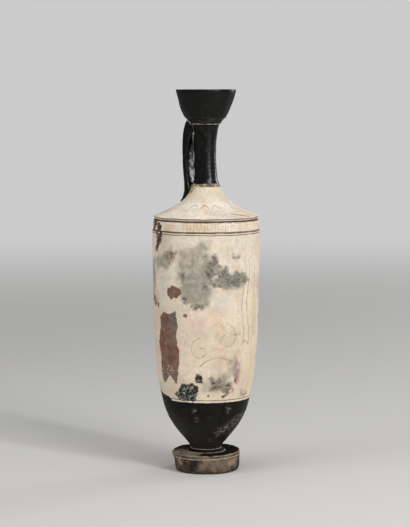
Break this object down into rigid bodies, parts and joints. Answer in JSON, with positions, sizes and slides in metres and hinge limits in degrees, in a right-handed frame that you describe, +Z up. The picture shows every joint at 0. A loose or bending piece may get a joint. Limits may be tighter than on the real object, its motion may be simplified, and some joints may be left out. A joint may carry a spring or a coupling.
{
  "type": "lekythos",
  "caption": "Tall fired-clay oil flask with a disc foot, cylindrical body, sloping shoulder, slender neck, bell-shaped mouth and a strap handle.",
  "frame": {"origin": "centre of the resting ring, on the surface that the vessel stands on", "axes": "+Z up along the vessel's axis, the handle lies towards -X, and +Y follows from the right hand"},
  "size_m": [0.107, 0.107, 0.38],
  "materials": {
    "foot_clay": "bare fired clay, worn and stained",
    "white_ground": "matte cream slip with faded painting, black gloss on the lower body",
    "black_gloss": "satin black gloss, worn at the edges"
  },
  "bodies": {
    "root": {"foot": "foot_clay", "body": "white_ground", "shoulder": "white_ground", "neck": "black_gloss", "mouth": "black_gloss", "handle": "black_gloss"}
  },
  "joints": []
}
